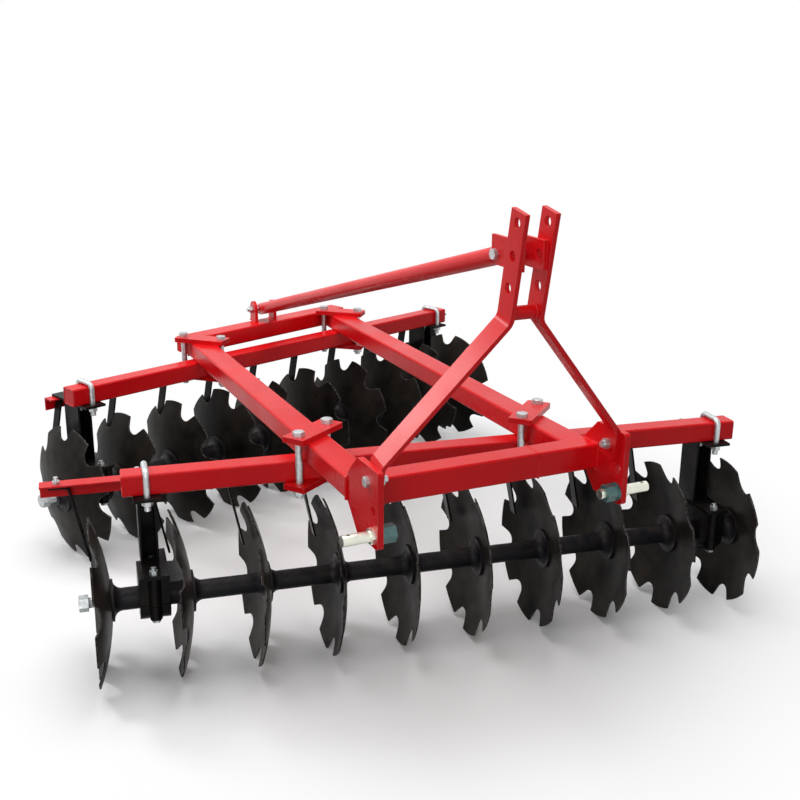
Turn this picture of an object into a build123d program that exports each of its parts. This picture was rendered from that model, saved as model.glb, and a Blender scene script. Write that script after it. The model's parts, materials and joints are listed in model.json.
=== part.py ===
from build123d import *
from math import cos, radians, sin, sqrt, tan
import os

# Mounted offset disc harrow, in millimetres.
# +Z is up and the discs stand on Z = 0. -Y is forward, towards the tractor. +X is to the right
# of someone who stands in front of the hitch and looks back at the harrow.
# The frame is drawn about X = 0, its plane of symmetry, and each finished piece is then moved so
# that the origin is on the floor under the middle of the whole machine.

# Discs
DISC_DIAMETER = 460.0
DISC_THICKNESS = 5.0
DISC_SPHERE_RADIUS = 600.0
DISC_FLAT_DIAMETER = 124.0
DISC_NOTCHES = 8
NOTCH_DEPTH = 44.0
NOTCH_HALF_ANGLE = 31.0
NOTCH_BOTTOM_RADIUS = 30.0
DISCS_PER_GANG = 10
DISC_SPACING = 212.0
END_DISC_SPACING = 216.0

# Square gang shafts and what is threaded on them
SHAFT_SQUARE = 30.0
SQUARE_CLEARANCE = 0.3
SPOOL_TUBE_DIAMETER = 55.0
BELL_DIAMETER = 116.0
BELL_RIM = 7.0
BELL_LENGTH = 34.0
JOURNAL_DIAMETER = 62.0
JOURNAL_FIT = 0.1
END_BELL_LENGTH = 26.0
STUD_DIAMETER = 28.0
STUD_SHOW = 28.0
END_NUT_FLATS = 40.0
END_NUT_LENGTH = 25.0

# Gangs: where the shaft crosses the machine's middle, its turn seen from above, how far the
# middle of the row of discs is shifted along it, and the shaft's turn in its bearings
FRONT_GANG_Y = -593.0
FRONT_GANG_ANGLE = -8.7
FRONT_GANG_SHIFT = 66.0
FRONT_GANG_TURN = 8.0
REAR_GANG_Y = 698.0
REAR_GANG_ANGLE = 20.5
REAR_GANG_SHIFT = 18.0
REAR_GANG_TURN = -4.5

# Discs whose notches are punched half a pitch round, counted from the left
FRONT_HALF_PITCH_DISCS = (2, 5, 6, 8, 9)
REAR_HALF_PITCH_DISCS = (1, 5, 7, 8, 9, 10)

# Square tubes: gang beams, rails and crossbeams
TUBE_WALL = 5.0
TUBE_CORNER = 7.0
BEAM_HEIGHT = 60.0
BEAM_WIDTH = 66.0
BEAM_OVERHANG = 62.0
BEAM_ABOVE_SHAFT = 306.0
RAIL_WIDTH = 80.0
RAIL_HEIGHT = 60.0
RAIL_SPREAD = 640.0
FRONT_CROSS_Y = -912.0
FRONT_CROSS_SIZE = 70.0
REAR_CROSS_Y = 838.0
REAR_CROSS_ANGLE = 22.0
REAR_CROSS_WIDTH = 82.0
REAR_CROSS_LENGTH = 790.0

# Headstock plates at the ends of the front crossbeam
HEADSTOCK_THICKNESS = 16.0
HEADSTOCK_OUTER_SPREAD = 712.0
HEADSTOCK_FRONT_LIP = 115.0
HEADSTOCK_BACK_LIP = 8.0
HEADSTOCK_RISE = 62.0
HEADSTOCK_DROP = 64.0
HEADSTOCK_CORNER = 10.0
SPARE_HOLE_DIAMETER = 24.0
SPARE_HOLE_ABOVE_PIN = 62.0

# Lower link pins and their nuts
LINK_PIN_DIAMETER = 28.0
LINK_PIN_REACH = 81.0
LINK_PIN_FROM_FRONT = 25.0
LINK_PIN_FROM_TIP = 31.0
LINK_PIN_SHOULDER_FLATS = 36.0
LINK_PIN_SHOULDER = 12.0
LINK_PIN_THREAD = 27.0
LEFT_LINK_PIN_TAIL = 3.0
RIGHT_LINK_PIN_TAIL = 14.0
LINCH_HOLE_DIAMETER = 11.0
LINCH_HOLE_FROM_END = 16.0
PIN_WASHER_DIAMETER = 50.0
PIN_WASHER_THICKNESS = 6.0
PIN_NUT_FLATS = 42.0
PIN_NUT_HEIGHT = 32.0
BOLT_HOLE_CLEARANCE = 0.3

# Mast: two bent flat bars that lean forward
MAST_LEAN = 10.8
MAST_BAR_WIDTH = 62.0
MAST_BAR_THICKNESS = 12.0
MAST_GAP = 68.0
MAST_BOLT_DIAMETER = 16.0
MAST_BOLT_FROM_FRONT = 57.0
MAST_BOLT_FROM_TOP = 39.0
MAST_FOOT_BELOW_BOLT = 36.0
MAST_LOWER_BEND = 47.0
MAST_UPPER_BEND = 387.0
MAST_TOP = 645.0
MAST_BEND_RADIUS = 30.0
TOP_LINK_HOLE_DIAMETER = 25.5
TOP_LINK_HOLE_PITCH = 77.0
TOP_LINK_HOLES = 3
TOP_LINK_HOLE_FROM_TOP = 28.0
SPACER_DIAMETER = 34.0
SPACER_WALL = 4.0
SPACER_ABOVE_BEND = 12.0

# Strut from the mast back to the rear crossbeam, with its lugs and bolts
STRUT_DIAMETER = 46.0
STRUT_WALL = 4.0
STRUT_BEYOND_BOLT = 24.0
LUG_THICKNESS = 10.0
LUG_HEIGHT = 70.0
LUG_BACK = 45.0
LUG_END = 20.0
LUG_CHAMFER = 26.0
CLEVIS_SPREAD = 88.0
CLEVIS_THICKNESS = 12.0
CLEVIS_PIN_HEIGHT = 46.0
CLEVIS_LUG_DEPTH = 64.0
CLEVIS_PIN_SETBACK = 17.0
STRUT_BOLT_DIAMETER = 16.0

# Bolts with hexagon heads: flats and thickness of head and nut follow the bolt's diameter
HEAD_FLATS_RATIO = 1.5
HEAD_HEIGHT_RATIO = 0.63
NUT_HEIGHT_RATIO = 0.85
WASHER_RATIO = 2.0
WASHER_THICKNESS = 3.0
BOLT_TAIL = 8.0
U_BOLT_TAIL = 16.0

# Clamps where the rails cross the gang beams
CLAMP_LENGTH = 190.0
CLAMP_WIDTH = 70.0
CLAMP_THICKNESS = 16.0
CLAMP_CORNER = 4.0
CLAMP_BOLT_DIAMETER = 20.0
CLAMP_BOLT_BESIDE_RAIL = 15.5
FRONT_LEFT_CLAMP_SLANT = 34.0
FRONT_RIGHT_CLAMP_SLANT = 41.0
FRONT_RIGHT_CLAMP_BACK = 10.0
REAR_LEFT_CLAMP_SLANT = -43.0
REAR_LEFT_CLAMP_BACK = 15.0
REAR_RIGHT_CLAMP_SLANT = -39.0
REAR_RIGHT_CLAMP_BACK = 12.0

# U-bolts and hangers
U_BOLT_DIAMETER = 17.0
U_BOLT_GAP = 0.3
U_BOLT_NUT_FLATS = 27.0
U_BOLT_NUT_HEIGHT = 14.0
HANGER_OFFSET = 5.0
HANGER_PLATE_WIDTH = 74.0
HANGER_PLATE_THICKNESS = 8.0
HANGER_PLATE_FRONT = 62.0
HANGER_ARM_WIDTH = 50.0
HANGER_ARM_WALL = 6.0
HANGER_ARM_FRONT = 15.0
HANGER_ARM_BACK = 105.0
FOOT_PLATE_THICKNESS = 10.0

# Bearing housings, split at the shaft
HOUSING_OFFSET = 9.0
HOUSING_WIDTH = 82.0
HOUSING_HALF_DEPTH = 60.0
HOUSING_TOP = 80.0
HOUSING_SPLIT = 2.0
HOUSING_BOSS_RADIUS = 17.0
HOUSING_BOSS_DROP = 40.0
HOUSING_BOLT_SPREAD = 116.0
HOUSING_BOLT_DIAMETER = 14.0

# Scraper bars, angle iron with one leg hanging at the back, and the scrapers below them
SCRAPER_BAR_LEG = 45.0
SCRAPER_BAR_WALL = 5.0
SCRAPER_BAR_FRONT = 120.0
FRONT_BAR_PAST_FOOT = 45.0
REAR_BAR_PAST_FOOT = 12.0
SCRAPER_BAR_PAST_HANGER = 60.0
SCRAPER_WIDTH = 36.0
SCRAPER_THICKNESS = 6.0
SCRAPER_FOOT = 118.0
SCRAPER_FOOT_END = 22.0
SCRAPER_BEND = 86.0
SCRAPER_BEND_RADIUS = 14.0
SCRAPER_TIP_OFFSET = 40.0
SCRAPER_TIP_ABOVE_SHAFT = 65.0

# Middle of the machine's footprint, seen from its plane of symmetry and the zero of the Y values
FOOTPRINT_MIDDLE_X = 35.8
FOOTPRINT_MIDDLE_Y = 56.8

os.makedirs("parts", exist_ok=True)

# Levels and places that follow from the sizes above
disc_radius = DISC_DIAMETER / 2
flat_radius = DISC_FLAT_DIAMETER / 2
shaft_height = disc_radius
beam_bottom = shaft_height + BEAM_ABOVE_SHAFT
beam_top = beam_bottom + BEAM_HEIGHT
rail_top = beam_top + RAIL_HEIGHT
rail_x = RAIL_SPREAD / 2
cross_back = FRONT_CROSS_Y + FRONT_CROSS_SIZE / 2
cross_front = FRONT_CROSS_Y - FRONT_CROSS_SIZE / 2
cross_top = beam_top + FRONT_CROSS_SIZE
headstock_outer = HEADSTOCK_OUTER_SPREAD / 2
headstock_inner = headstock_outer - HEADSTOCK_THICKNESS
headstock_front = cross_front - HEADSTOCK_FRONT_LIP
headstock_back = cross_front + HEADSTOCK_BACK_LIP
headstock_top = cross_top + HEADSTOCK_RISE
headstock_tip = beam_top - HEADSTOCK_DROP
link_pin_y = headstock_front + LINK_PIN_FROM_FRONT
link_pin_z = headstock_tip + LINK_PIN_FROM_TIP
mast_bolt_y = headstock_front + MAST_BOLT_FROM_FRONT
mast_bolt_z = headstock_top - MAST_BOLT_FROM_TOP
hanger_plate_bottom = beam_bottom - HANGER_PLATE_THICKNESS
foot_plate_bottom = shaft_height + HOUSING_TOP
foot_plate_top = foot_plate_bottom + FOOT_PLATE_THICKNESS


def turned_frame(y, angle):
    """Frame of a beam that crosses the machine: x along it, y rearwards, z up from the floor."""
    return Plane((0, y, 0), x_dir=(cos(radians(angle)), sin(radians(angle)), 0), z_dir=(0, 0, 1))


def upright(frame, along, across=0.0, height=0.0):
    """Level plane at a place in such a frame, with the frame's own directions."""
    place = frame.from_local_coords(Vector(along, across, height))
    return Plane(place, x_dir=frame.x_dir, z_dir=frame.z_dir)


def across_shaft(frame, along, height=shaft_height):
    """Plane square to the beam: x rearwards, y up and z along the beam."""
    place = frame.from_local_coords(Vector(along, 0, height))
    return Plane(place, x_dir=frame.y_dir, z_dir=frame.x_dir)


def on_shaft(frame, along, turn):
    """Plane square to a gang's shaft, turned about it with the shaft."""
    level = across_shaft(frame, along)
    rearward = level.x_dir * cos(radians(turn)) + level.y_dir * sin(radians(turn))
    return Plane(level.origin, x_dir=rearward, z_dir=level.z_dir)


def dish(radius):
    """How far the disc's face stands off its flat centre at this radius."""
    return sqrt(DISC_SPHERE_RADIUS**2 - flat_radius**2) - sqrt(DISC_SPHERE_RADIUS**2 - radius**2)


def hexagon(flats):
    """Radius over the corners of a hexagon of this width over its flats."""
    return flats / sqrt(3)


def write(piece, name):
    """Label a finished piece, move it to the origin on the floor and write it."""
    piece.part.label = name
    to_origin = Location((-FOOTPRINT_MIDDLE_X, -FOOTPRINT_MIDDLE_Y, 0))
    export_step(piece.part.moved(to_origin), f"parts/{name}.step")


front_frame = turned_frame(FRONT_GANG_Y, FRONT_GANG_ANGLE)
rear_frame = turned_frame(REAR_GANG_Y, REAR_GANG_ANGLE)
front_cross_frame = turned_frame(FRONT_CROSS_Y, 0)
rear_cross_frame = turned_frame(REAR_CROSS_Y, REAR_CROSS_ANGLE)
# name, frame, shift of the row of discs, side to which the discs are hollow
GANGS = [
    ("front", front_frame, FRONT_GANG_SHIFT, -1),
    ("rear", rear_frame, REAR_GANG_SHIFT, 1),
]
shaft_turn = {"front": FRONT_GANG_TURN, "rear": REAR_GANG_TURN}
half_pitch_discs = {"front": FRONT_HALF_PITCH_DISCS, "rear": REAR_HALF_PITCH_DISCS}
bar_past_foot = {"front": FRONT_BAR_PAST_FOOT, "rear": REAR_BAR_PAST_FOOT}

# Places of a gang's discs along its shaft, from the middle of the row
inner_row = (DISCS_PER_GANG - 3) * DISC_SPACING / 2
half_row = inner_row + END_DISC_SPACING
disc_row = [-half_row]
disc_row += [DISC_SPACING * i - inner_row for i in range(DISCS_PER_GANG - 2)]
disc_row += [half_row]
bearing_reach = half_row - END_DISC_SPACING / 2
spool_length = DISC_SPACING - DISC_THICKNESS
bearing_spool_length = END_DISC_SPACING - DISC_THICKNESS

# The dish of a disc before it is punched: flat at its centre, hollow side up
with BuildPart() as disc_blank:
    with BuildSketch(Plane.XZ):
        with BuildLine():
            middle = (disc_radius + flat_radius) / 2
            below = ThreePointArc(
                (flat_radius, 0), (middle, dish(middle)), (disc_radius, dish(disc_radius))
            )
            above = ThreePointArc(
                (flat_radius, DISC_THICKNESS),
                (middle, dish(middle) + DISC_THICKNESS),
                (disc_radius, dish(disc_radius) + DISC_THICKNESS),
            )
            Line(below @ 1, above @ 1)
            Polyline(below @ 0, (0, 0), (0, DISC_THICKNESS), above @ 0)
        make_face()
    revolve(axis=Axis.Z)

# One notch: a V with a wide rounded bottom, open at the rim
notch_slope = radians(NOTCH_HALF_ANGLE)
notch_vertex = disc_radius - NOTCH_DEPTH - NOTCH_BOTTOM_RADIUS * (1 / sin(notch_slope) - 1)
notch_mouth = disc_radius + DISC_THICKNESS
half_mouth = (notch_mouth - notch_vertex) * tan(notch_slope)
with BuildSketch() as notch:
    with BuildLine():
        Polyline(
            (notch_vertex, 0), (notch_mouth, half_mouth), (notch_mouth, -half_mouth), close=True
        )
    make_face()
    fillet(vertices().sort_by(Axis.X)[0], radius=NOTCH_BOTTOM_RADIUS)

# The two ways a disc is punched: its notches beside the square's sides, or half a pitch round
disc_kinds = []
for first_notch in (180 / DISC_NOTCHES, 0):
    with BuildPart() as punched:
        add(disc_blank.part)
        with BuildSketch():
            with PolarLocations(0, DISC_NOTCHES, start_angle=first_notch):
                add(notch.sketch)
            Rectangle(SHAFT_SQUARE + 2 * SQUARE_CLEARANCE, SHAFT_SQUARE + 2 * SQUARE_CLEARANCE)
        extrude(amount=dish(disc_radius) + DISC_THICKNESS, mode=Mode.SUBTRACT)
    disc_kinds.append(punched.part)

# Spools: the plain one, the one that turns in a bearing, and the bell at each end of a gang.
# Kind, diameter of its tube, half its length, length of its bell
spool_kinds = {}
for kind, tube_diameter, length, bell_length in [
    ("plain", SPOOL_TUBE_DIAMETER, spool_length / 2, BELL_LENGTH),
    ("bearing", JOURNAL_DIAMETER, bearing_spool_length / 2, BELL_LENGTH),
    ("end", SPOOL_TUBE_DIAMETER, END_BELL_LENGTH, END_BELL_LENGTH),
]:
    bell = BELL_DIAMETER / 2
    tube = tube_diameter / 2
    rim = length - BELL_RIM
    neck = length - bell_length
    with BuildPart() as spool_blank:
        with BuildSketch(Plane.XZ):
            with BuildLine():
                Line((0, 0), (0, length))
                Line((0, length), (bell, length))
                Line((bell, length), (bell, rim))
                hollow = (bell - tube) / 4
                ThreePointArc(
                    (bell, rim),
                    ((bell + tube) / 2 - hollow, (rim + neck) / 2 + hollow),
                    (tube, neck),
                )
                if neck > 0:
                    Line((tube, neck), (tube, 0))
                Line((tube, 0), (0, 0))
            make_face()
        revolve(axis=Axis.Z)
        if kind != "end":
            mirror(about=Plane.XY)
        with BuildSketch(Plane.XY.offset(-length)):
            Rectangle(SHAFT_SQUARE + 2 * SQUARE_CLEARANCE, SHAFT_SQUARE + 2 * SQUARE_CLEARANCE)
        extrude(amount=2 * length, mode=Mode.SUBTRACT)
    spool_kinds[kind] = spool_blank.part

# The two gangs: shaft, discs, spools, bearing spools, end bells and end nuts
for gang, frame, shift, hollow_side in GANGS:
    turn = shaft_turn[gang]
    hubs = [shift + place for place in disc_row]
    gaps = [(left + right) / 2 for left, right in zip(hubs, hubs[1:])]
    end_face = half_row + DISC_THICKNESS / 2 + END_BELL_LENGTH

    with BuildPart() as shaft:
        with BuildSketch(on_shaft(frame, shift - end_face, turn)):
            Rectangle(SHAFT_SQUARE, SHAFT_SQUARE)
        extrude(amount=2 * end_face)
    write(shaft, f"{gang}_shaft")

    with BuildPart() as discs:
        for number, hub in enumerate(hubs, start=1):
            kind = 1 if number in half_pitch_discs[gang] else 0
            face = on_shaft(frame, hub - hollow_side * DISC_THICKNESS / 2, turn)
            with Locations(Plane(face.origin, x_dir=face.x_dir, z_dir=face.z_dir * hollow_side)):
                add(disc_kinds[kind])
    write(discs, f"{gang}_discs")

    with BuildPart() as spools:
        for gap in gaps[1:-1]:
            with Locations(on_shaft(frame, gap, turn)):
                add(spool_kinds["plain"])
    write(spools, f"{gang}_spools")

    with BuildPart() as bearing_spools:
        for gap in (gaps[0], gaps[-1]):
            with Locations(on_shaft(frame, gap, turn)):
                add(spool_kinds["bearing"])
    write(bearing_spools, f"{gang}_bearing_spools")

    with BuildPart() as end_bells:
        for side in (-1, 1):
            outer = on_shaft(frame, shift + side * end_face, turn)
            with Locations(Plane(outer.origin, x_dir=outer.x_dir, z_dir=outer.z_dir * -side)):
                add(spool_kinds["end"])
    write(end_bells, f"{gang}_end_bells")

    with BuildPart() as end_nuts:
        for side in (-1, 1):
            outer = on_shaft(frame, shift + side * end_face, turn)
            outward = Plane(outer.origin, x_dir=outer.x_dir, z_dir=outer.z_dir * side)
            with BuildSketch(outward):
                Circle(STUD_DIAMETER / 2)
            extrude(amount=STUD_SHOW)
            with BuildSketch(outward.offset(STUD_SHOW)):
                RegularPolygon(hexagon(END_NUT_FLATS), 6)
            extrude(amount=END_NUT_LENGTH)
    write(end_nuts, f"{gang}_end_nuts")


def tube_core(width, height):
    """Inner outline of a square tube, as wide and high outside as this."""
    RectangleRounded(width - 2 * TUBE_WALL, height - 2 * TUBE_WALL, TUBE_CORNER - TUBE_WALL)


# Gang beams and crossbeams, closed at both ends by a plate as thick as the wall:
# name, frame, start and end along it, level of its underside, width, height
beam_reach = bearing_reach + BEAM_OVERHANG
beams = [
    (f"{gang}_gang_beam", frame, shift + HANGER_OFFSET - beam_reach, shift + HANGER_OFFSET + beam_reach,
     beam_bottom, BEAM_WIDTH, BEAM_HEIGHT)
    for gang, frame, shift, hollow_side in GANGS
]
beams += [
    ("front_crossbeam", front_cross_frame, -headstock_outer, headstock_outer, beam_top,
     FRONT_CROSS_SIZE, FRONT_CROSS_SIZE),
    ("rear_crossbeam", rear_cross_frame, -REAR_CROSS_LENGTH / 2, REAR_CROSS_LENGTH / 2, beam_top,
     REAR_CROSS_WIDTH, RAIL_HEIGHT),
]
for name, frame, start, end, underside, width, height in beams:
    with BuildPart() as beam:
        with BuildSketch(across_shaft(frame, start, underside + height / 2)):
            RectangleRounded(width, height, TUBE_CORNER)
        extrude(amount=end - start)
        with BuildSketch(across_shaft(frame, start + TUBE_WALL, underside + height / 2)):
            tube_core(width, height)
        extrude(amount=end - start - 2 * TUBE_WALL, mode=Mode.SUBTRACT)
    write(beam, name)

# Rails: square against the front crossbeam, mitred against the rear one
mitre = Plane(
    rear_cross_frame.from_local_coords(Vector(0, -REAR_CROSS_WIDTH / 2, 0)),
    z_dir=rear_cross_frame.y_dir,
)
for name, side in [("left_rail", -1), ("right_rail", 1)]:
    front_end = Plane(
        (side * rail_x, cross_back, beam_top + RAIL_HEIGHT / 2), x_dir=(-1, 0, 0), z_dir=(0, 1, 0)
    )
    with BuildPart() as rail:
        with BuildSketch(front_end):
            RectangleRounded(RAIL_WIDTH, RAIL_HEIGHT, TUBE_CORNER)
        extrude(amount=2 * (REAR_CROSS_Y - cross_back))
        with BuildSketch(front_end):
            tube_core(RAIL_WIDTH, RAIL_HEIGHT)
        extrude(amount=2 * (REAR_CROSS_Y - cross_back), mode=Mode.SUBTRACT)
        split(bisect_by=mitre, keep=Keep.BOTTOM)
    write(rail, name)

# Headstock plate: wraps the crossbeam's end on three sides, with its pin, bolt and spare holes
with BuildPart() as right_headstock:
    with BuildSketch(Plane.YZ.offset(headstock_inner)):
        with BuildLine():
            Polyline(
                (headstock_back, headstock_top),
                (headstock_front, headstock_top),
                (headstock_front, headstock_tip),
                (headstock_back, headstock_tip),
                (cross_back, beam_top),
                (cross_front, beam_top),
                (cross_front, cross_top),
                (cross_back, cross_top),
                close=True,
            )
        make_face()
        fillet(vertices().group_by(Axis.Y)[0], radius=HEADSTOCK_CORNER)
        fillet(vertices().group_by(Axis.Y)[-1], radius=HEADSTOCK_CORNER)
        with Locations((link_pin_y, link_pin_z)):
            Circle(LINK_PIN_THREAD / 2 + BOLT_HOLE_CLEARANCE, mode=Mode.SUBTRACT)
        with Locations((link_pin_y, link_pin_z + SPARE_HOLE_ABOVE_PIN)):
            Circle(SPARE_HOLE_DIAMETER / 2, mode=Mode.SUBTRACT)
        with Locations((mast_bolt_y, mast_bolt_z)):
            Circle(MAST_BOLT_DIAMETER / 2 + BOLT_HOLE_CLEARANCE, mode=Mode.SUBTRACT)
    extrude(amount=HEADSTOCK_THICKNESS)
write(right_headstock, "right_headstock_plate")
with BuildPart() as left_headstock:
    mirror(right_headstock.part, about=Plane.YZ)
write(left_headstock, "left_headstock_plate")

# Mast legs, drawn on the plane that leans forward through the mast bolts
lean = radians(MAST_LEAN)
mast_plane = Plane(
    (0, mast_bolt_y, mast_bolt_z), x_dir=(1, 0, 0), z_dir=(0, -cos(lean), -sin(lean))
)
mast_outer = MAST_GAP / 2 + MAST_BAR_THICKNESS
top_link_heights = [
    MAST_TOP - TOP_LINK_HOLE_FROM_TOP - TOP_LINK_HOLE_PITCH * i for i in range(TOP_LINK_HOLES)
]


def on_mast(height, forward=0.0):
    """Place in the plane of symmetry: height up the mast from its bolts, and forward of it."""
    return mast_plane.from_local_coords(Vector(0, height, forward))


with BuildPart() as right_mast_leg:
    with BuildSketch(mast_plane):
        with BuildLine():
            FilletPolyline(
                (headstock_inner, -MAST_FOOT_BELOW_BOLT),
                (headstock_inner, MAST_LOWER_BEND),
                (mast_outer, MAST_UPPER_BEND),
                (mast_outer, MAST_TOP),
                radius=MAST_BEND_RADIUS,
            )
            offset(amount=MAST_BAR_THICKNESS, side=Side.LEFT)
        make_face()
    extrude(amount=MAST_BAR_WIDTH / 2, both=True)
    with BuildSketch(Plane.YZ):
        for height in top_link_heights:
            place = on_mast(height)
            with Locations((place.Y, place.Z)):
                Circle(TOP_LINK_HOLE_DIAMETER / 2)
        with Locations((mast_bolt_y, mast_bolt_z)):
            Circle(MAST_BOLT_DIAMETER / 2 + BOLT_HOLE_CLEARANCE)
    extrude(amount=headstock_outer, mode=Mode.SUBTRACT)
write(right_mast_leg, "right_mast_leg")
with BuildPart() as left_mast_leg:
    mirror(right_mast_leg.part, about=Plane.YZ)
write(left_mast_leg, "left_mast_leg")

# Spacer between the legs: a short piece of round tube
spacer_start = on_mast(MAST_UPPER_BEND + SPACER_ABOVE_BEND) - Vector(MAST_GAP / 2, 0, 0)
with BuildPart() as mast_spacer:
    with BuildSketch(Plane(spacer_start, x_dir=mast_plane.y_dir, z_dir=(1, 0, 0))):
        Circle(SPACER_DIAMETER / 2)
        Circle(SPACER_DIAMETER / 2 - SPACER_WALL, mode=Mode.SUBTRACT)
    extrude(amount=MAST_GAP)
write(mast_spacer, "mast_spacer")

# Lugs inside the mast, bored in line with the middle top link hole
lug_hole = on_mast(top_link_heights[1])
mast_back = on_mast(top_link_heights[1], -MAST_BAR_WIDTH / 2).Y
strut_front = Vector(0, mast_back + LUG_BACK + LUG_END, lug_hole.Z - LUG_END / 2)
lug_front = lug_hole.Y - LUG_END
lug_rear = strut_front.Y + LUG_END
lug_low = lug_hole.Z - LUG_HEIGHT / 2
lug_high = lug_hole.Z + LUG_HEIGHT / 2
with BuildPart() as strut_lugs:
    with BuildSketch(Plane.YZ.offset(-MAST_GAP / 2)):
        with BuildLine():
            Polyline(
                (lug_front, lug_high),
                (lug_front, lug_low),
                (lug_rear - LUG_CHAMFER, lug_low),
                (lug_rear, lug_low + LUG_CHAMFER),
                (lug_rear, lug_high),
                close=True,
            )
        make_face()
        with Locations((lug_hole.Y, lug_hole.Z)):
            Circle(TOP_LINK_HOLE_DIAMETER / 2, mode=Mode.SUBTRACT)
        with Locations((strut_front.Y, strut_front.Z)):
            Circle(STRUT_BOLT_DIAMETER / 2 + BOLT_HOLE_CLEARANCE, mode=Mode.SUBTRACT)
    extrude(amount=LUG_THICKNESS)
    mirror(about=Plane.YZ)
write(strut_lugs, "strut_lugs")

# Clevis on the rear crossbeam
strut_back = Vector(0, REAR_CROSS_Y + CLEVIS_PIN_SETBACK, rail_top + CLEVIS_PIN_HEIGHT)
with BuildPart() as rear_clevis:
    with BuildSketch(Plane.YZ.offset(-CLEVIS_SPREAD / 2)):
        with Locations((strut_back.Y, strut_back.Z)):
            Circle(CLEVIS_LUG_DEPTH / 2)
        with Locations((strut_back.Y, rail_top + CLEVIS_PIN_HEIGHT / 2)):
            Rectangle(CLEVIS_LUG_DEPTH, CLEVIS_PIN_HEIGHT)
        with Locations((strut_back.Y, strut_back.Z)):
            Circle(STRUT_BOLT_DIAMETER / 2 + BOLT_HOLE_CLEARANCE, mode=Mode.SUBTRACT)
    extrude(amount=CLEVIS_THICKNESS)
    mirror(about=Plane.YZ)
write(rear_clevis, "rear_clevis")

# Strut: round tube, cross-bored for its two bolts
strut_direction = (strut_back - strut_front).normalized()
strut_start = strut_front - strut_direction * STRUT_BEYOND_BOLT
strut_length = (strut_back - strut_front).length + 2 * STRUT_BEYOND_BOLT
with BuildPart() as strut:
    with BuildSketch(Plane(strut_start, x_dir=(1, 0, 0), z_dir=strut_direction)):
        Circle(STRUT_DIAMETER / 2)
        Circle(STRUT_DIAMETER / 2 - STRUT_WALL, mode=Mode.SUBTRACT)
    extrude(amount=strut_length)
    for end in (strut_front, strut_back):
        with BuildSketch(Plane.YZ.offset(-STRUT_DIAMETER)):
            with Locations((end.Y, end.Z)):
                Circle(STRUT_BOLT_DIAMETER / 2 + BOLT_HOLE_CLEARANCE)
        extrude(amount=2 * STRUT_DIAMETER, mode=Mode.SUBTRACT)
write(strut, "strut")


def bolt(seat, diameter, grip, washer=True, nut=True):
    """Add a bolt to the part being built: head above the seat plane, nut below the grip."""
    lift = WASHER_THICKNESS if washer else 0.0
    nut_height = NUT_HEIGHT_RATIO * diameter
    past_grip = nut_height + BOLT_TAIL if nut else 0.0
    with BuildSketch(seat) as washer_outline:
        Circle(WASHER_RATIO * diameter / 2)
    with BuildSketch(seat.offset(lift)) as head_outline:
        RegularPolygon(hexagon(HEAD_FLATS_RATIO * diameter), 6)
    with BuildSketch(seat.offset(lift)) as rod_outline:
        Circle(diameter / 2)
    with BuildSketch(seat.offset(-grip)) as nut_outline:
        RegularPolygon(hexagon(HEAD_FLATS_RATIO * diameter), 6)
    if washer:
        extrude(washer_outline.sketch, amount=WASHER_THICKNESS)
    extrude(head_outline.sketch, amount=HEAD_HEIGHT_RATIO * diameter)
    extrude(rod_outline.sketch, amount=-(lift + grip + past_grip))
    if nut:
        extrude(nut_outline.sketch, amount=-nut_height)


# Bolts of the mast feet and of the strut's ends
with BuildPart() as mast_bolts:
    for side in (-1, 1):
        head_seat = Plane(
            (side * headstock_outer, mast_bolt_y, mast_bolt_z), x_dir=(0, 1, 0), z_dir=(side, 0, 0)
        )
        grip = HEADSTOCK_THICKNESS + MAST_BAR_THICKNESS
        bolt(head_seat, MAST_BOLT_DIAMETER, grip, washer=False)
write(mast_bolts, "mast_bolts")
with BuildPart() as strut_bolts:
    for end, spread, side in [(strut_front, MAST_GAP, -1), (strut_back, CLEVIS_SPREAD, 1)]:
        lug_face = end + Vector(side * spread / 2, 0, 0)
        head_seat = Plane(lug_face, x_dir=(0, 1, 0), z_dir=(side, 0, 0))
        bolt(head_seat, STRUT_BOLT_DIAMETER, spread, washer=False)
write(strut_bolts, "strut_bolts")

# Lower link pins: hexagon shoulder on the plate, pin outwards, thread inwards through its nut.
# Name, side, thread that shows past the nut
nut_end = HEADSTOCK_THICKNESS + PIN_WASHER_THICKNESS + PIN_NUT_HEIGHT
for name, side, tail in [
    ("left_link_pin", -1, LEFT_LINK_PIN_TAIL),
    ("right_link_pin", 1, RIGHT_LINK_PIN_TAIL),
]:
    outward = Plane(
        (side * headstock_outer, link_pin_y, link_pin_z), x_dir=(0, 1, 0), z_dir=(side, 0, 0)
    )
    linch_x = side * (headstock_outer + LINK_PIN_REACH - LINCH_HOLE_FROM_END)
    with BuildPart() as link_pin:
        with BuildSketch(outward):
            RegularPolygon(hexagon(LINK_PIN_SHOULDER_FLATS), 6)
        extrude(amount=LINK_PIN_SHOULDER)
        with BuildSketch(outward):
            Circle(LINK_PIN_DIAMETER / 2)
        extrude(amount=LINK_PIN_REACH)
        with BuildSketch(outward):
            Circle(LINK_PIN_THREAD / 2)
        extrude(amount=-(nut_end + tail))
        with BuildSketch(Plane.XY.offset(link_pin_z - LINK_PIN_DIAMETER)):
            with Locations((linch_x, link_pin_y)):
                Circle(LINCH_HOLE_DIAMETER / 2)
        extrude(amount=2 * LINK_PIN_DIAMETER, mode=Mode.SUBTRACT)
    write(link_pin, name)

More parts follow.
